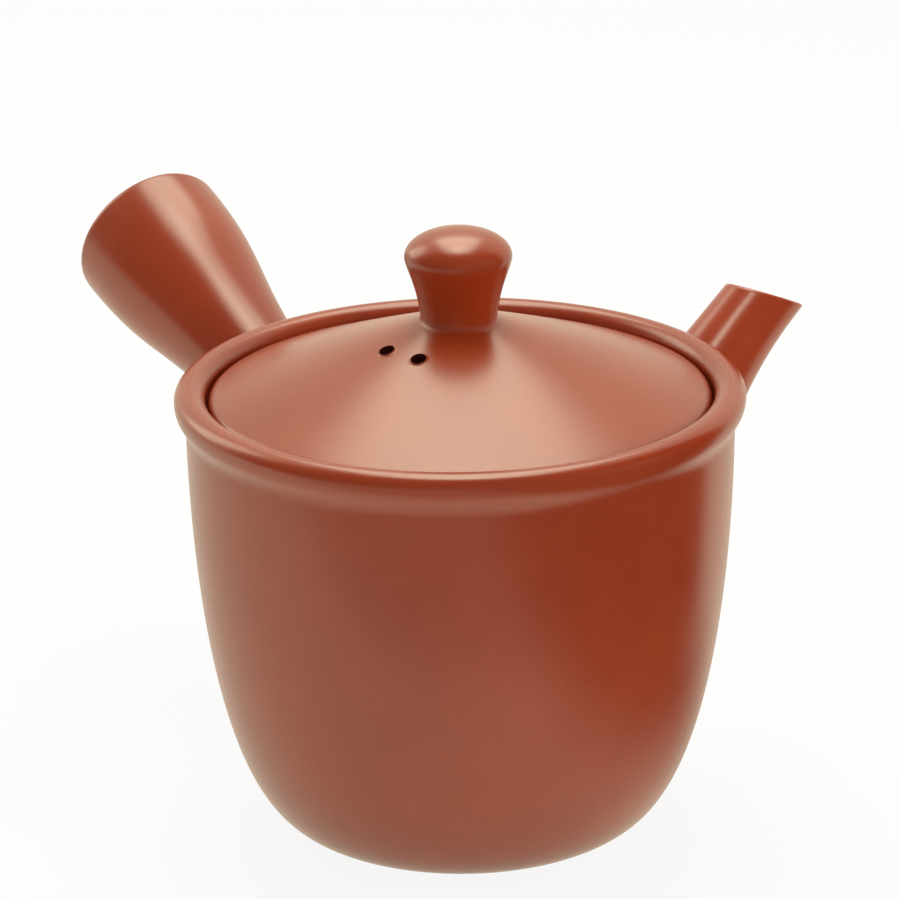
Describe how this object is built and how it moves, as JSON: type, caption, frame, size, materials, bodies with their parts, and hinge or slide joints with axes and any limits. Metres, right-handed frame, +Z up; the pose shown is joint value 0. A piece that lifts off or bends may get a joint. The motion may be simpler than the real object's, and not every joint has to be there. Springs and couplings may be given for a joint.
{
  "type": "side-handled teapot",
  "caption": "Round unglazed red clay teapot with a hollow side handle, a short straight spout with a clay strainer behind it, and a low lift-off lid with a knob.",
  "frame": {"origin": "centre of the foot ring, on the table", "axes": "+Z up along the pot's centre line, +X towards the spout, +Y towards the handle"},
  "size_m": [0.1194, 0.157, 0.1066],
  "materials": {
    "burnished_clay": "unglazed red clay, burnished to a satin sheen",
    "plain_clay": "unglazed red clay, left as turned",
    "slip_clay": "red clay slip, smoothed with a wet brush"
  },
  "bodies": {
    "pot": {"bowl": "burnished_clay", "spout": "burnished_clay", "spout_slip_joint": "slip_clay", "handle": "burnished_clay", "handle_slip_joint": "slip_clay", "strainer": "plain_clay", "strainer_slip_joint": "slip_clay"},
    "lid_carrier": {"flange_slip_joint": "slip_clay"},
    "lid": {"lid": "burnished_clay", "lid_flange": "plain_clay", "knob": "burnished_clay", "knob_slip_joint": "slip_clay"}
  },
  "joints": [
    {"name": "lid_lift", "type": "slide", "parent": "pot", "child": "lid_carrier", "axis": [0, 0, 1], "range_m": [0, 0.06]},
    {"name": "lid_turn", "type": "hinge", "parent": "lid_carrier", "child": "lid", "pos_m": [0, 0, 0.0746], "axis": [0, 0, 1], "continuous": true}
  ]
}
